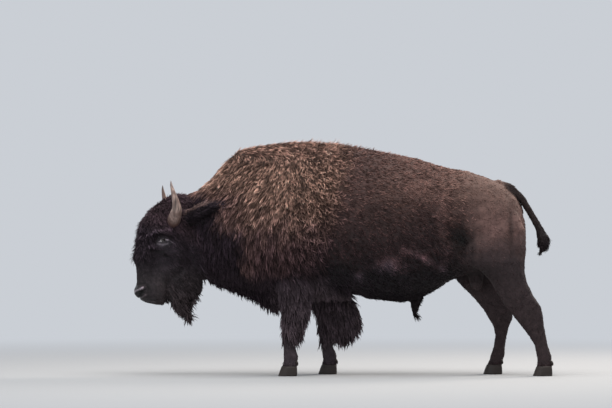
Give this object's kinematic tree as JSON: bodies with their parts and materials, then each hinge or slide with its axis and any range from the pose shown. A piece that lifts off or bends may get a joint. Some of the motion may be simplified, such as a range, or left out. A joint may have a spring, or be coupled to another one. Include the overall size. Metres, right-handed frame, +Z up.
{
  "type": "american bison bull",
  "caption": "Life-size still model of an american bison bull in a slow walk, head low, tail raised.",
  "frame": {"origin": "on the floor, under the centre of the bounding box", "axes": "+Z is up, the head points to -X, and the animal's left side faces -Y"},
  "size_m": [3.2012, 0.7644, 1.797],
  "materials": {
    "cape_wool": "shaggy brown wool with pale weathered tips",
    "rear_coat": "short dense brown coat",
    "dark_fur": "long near-black brown hair",
    "muzzle_skin": "bare black skin, slightly moist",
    "horn": "grey horn with fine growth lines, darker at the tip",
    "hoof": "dark horn, lightly worn",
    "eye": "wet dark brown eye"
  },
  "bodies": {
    "root": {"head": "dark_fur", "muzzle": "muzzle_skin", "jaw": "dark_fur", "beard": "dark_fur", "horn_left": "horn", "horn_right": "horn", "ear_left": "dark_fur", "ear_right": "dark_fur", "eye_left": "eye", "eye_right": "eye", "scrotum": "dark_fur", "sheath": "dark_fur", "neck_fringe": "dark_fur", "neck": "cape_wool", "hump": "cape_wool", "barrel": "rear_coat", "rump": "rear_coat", "tail_base": "rear_coat", "tail_middle": "dark_fur", "tail_tassel": "dark_fur", "left_foreleg_upper": "dark_fur", "left_foreleg_lower": "dark_fur", "right_foreleg_upper": "dark_fur", "right_foreleg_lower": "dark_fur", "left_hindleg_upper": "dark_fur", "left_hindleg_lower": "dark_fur", "right_hindleg_upper": "dark_fur", "right_hindleg_lower": "dark_fur", "hoof_left_fore": "hoof", "hoof_right_fore": "hoof", "hoof_left_hind": "hoof", "hoof_right_hind": "hoof"}
  },
  "joints": []
}
